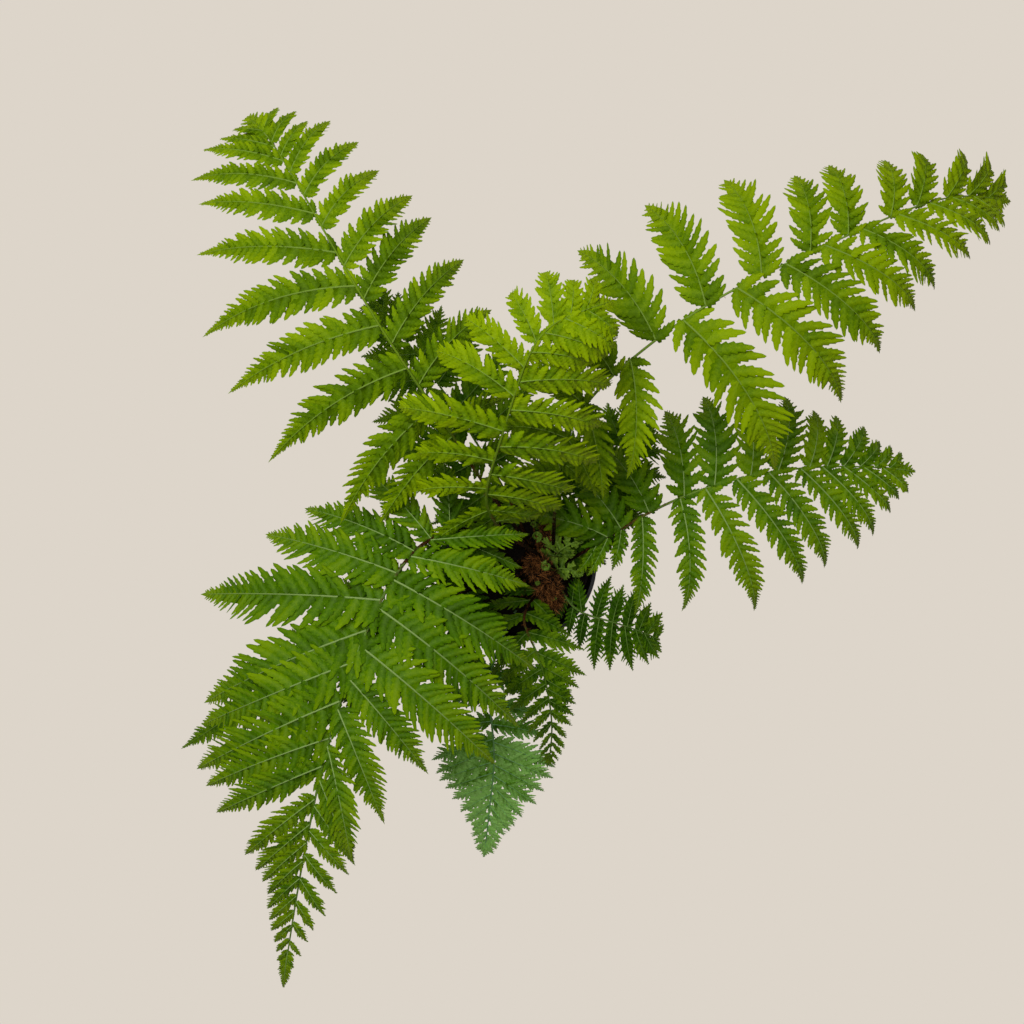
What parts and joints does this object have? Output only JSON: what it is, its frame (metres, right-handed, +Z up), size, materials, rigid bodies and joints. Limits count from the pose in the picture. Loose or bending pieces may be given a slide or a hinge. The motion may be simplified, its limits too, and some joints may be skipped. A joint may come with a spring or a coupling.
{
  "type": "potted australian tree fern",
  "caption": "Young tree fern with long arching, finely divided fronds and brown woolly croziers rising from a scaly crown in a round black nursery pot.",
  "frame": {"origin": "centre of the pot's flat base, on the surface it stands on", "axes": "+Z up along the pot's axis; +Y towards the upper fronds, +X towards the right-hand frond"},
  "size_m": [0.8818, 0.9025, 0.5562],
  "materials": {
    "pot_plastic": "moulded black polypropylene, matte",
    "potting_soil": "moist bark and peat potting mix",
    "crown_scales": "short trunk covered in brown papery scales",
    "crozier_wool": "dense woolly red-brown scales",
    "frond_bright": "satin leaf, bright yellow-green",
    "frond_green": "satin leaf, mid green",
    "frond_dark": "satin leaf, deep green",
    "frond_bluish": "matte leaf, deep green that turns bluish grey-green at the tip",
    "young_frond": "soft young leaf, pale grey-green"
  },
  "bodies": {
    "root": {"pot": "pot_plastic", "soil": "potting_soil", "crown": "crown_scales", "frond_upper_left": "frond_bright", "frond_centre": "frond_bright", "frond_upper_right": "frond_bright", "frond_right": "frond_green", "frond_lower_left": "frond_green", "frond_front_low": "frond_bluish", "frond_front": "frond_dark", "frond_small_right": "frond_dark", "frond_under_right": "frond_dark", "frond_under_left": "frond_dark", "frond_under_top": "frond_dark", "young_frond_upper": "young_frond", "young_frond_lower": "young_frond", "crozier_left": "crozier_wool", "crozier_front": "crozier_wool", "crozier_low": "crozier_wool", "crozier_back": "crozier_wool"}
  },
  "joints": []
}
